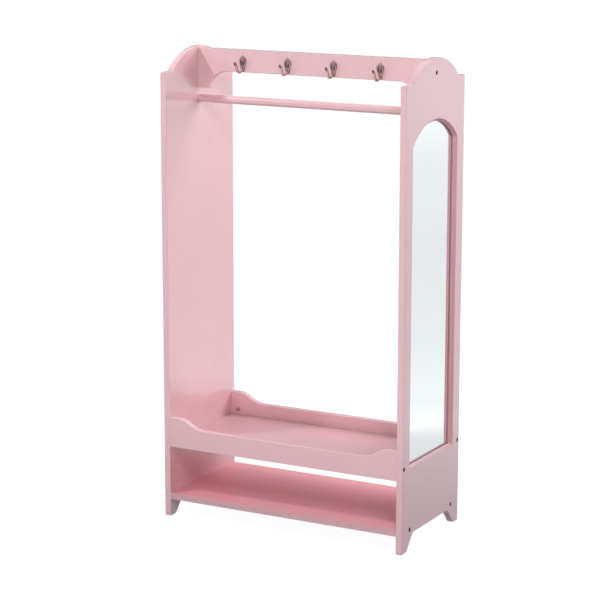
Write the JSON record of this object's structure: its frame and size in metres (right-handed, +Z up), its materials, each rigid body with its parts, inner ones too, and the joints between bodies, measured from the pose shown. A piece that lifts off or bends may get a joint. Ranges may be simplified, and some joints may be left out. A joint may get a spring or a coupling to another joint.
{
  "type": "dress up storage unit with mirror",
  "caption": "Free-standing children's dress-up rack: arched side panels, rail with coat hooks, hanging rod, open tray, low shelf and a long arched mirror in one side",
  "frame": {"origin": "on the floor, under the middle of the rack", "axes": "+X to the panel with the mirror, +Y to the back, +Z up"},
  "size_m": [0.6, 0.29, 1.06],
  "materials": {
    "pink_lacquer": "pink lacquer on fibreboard, satin to semi-gloss",
    "mirror_silver": "silvered glass",
    "raw_fibreboard": "bare hardboard",
    "antique_pewter": "antique pewter plating, worn on the high spots",
    "dark_steel": "blackened steel",
    "zinc_plate": "zinc plate",
    "beech": "bare fluted beech"
  },
  "bodies": {
    "rack": {"left_side_panel": "pink_lacquer", "right_side_panel": "pink_lacquer", "mirror_glass": "mirror_silver", "mirror_backing_board": "raw_fibreboard", "mirror_screws": "zinc_plate", "hook_rail": "pink_lacquer", "tray_front_board": "pink_lacquer", "tray_back_board": "pink_lacquer", "tray_floor": "pink_lacquer", "bottom_shelf": "pink_lacquer", "coat_hook_1": "antique_pewter", "coat_hook_2": "antique_pewter", "coat_hook_3": "antique_pewter", "coat_hook_4": "antique_pewter", "hook_screws": "antique_pewter", "connector_bolts": "dark_steel", "barrel_nuts": "zinc_plate", "panel_dowels": "beech", "tray_dowels": "beech"},
    "rod": {"clothes_rod": "pink_lacquer"}
  },
  "joints": [
    {"name": "rod_turn", "type": "hinge", "parent": "rack", "child": "rod", "pos_m": [0, 0, 0.942], "axis": [1, 0, 0], "continuous": true}
  ]
}
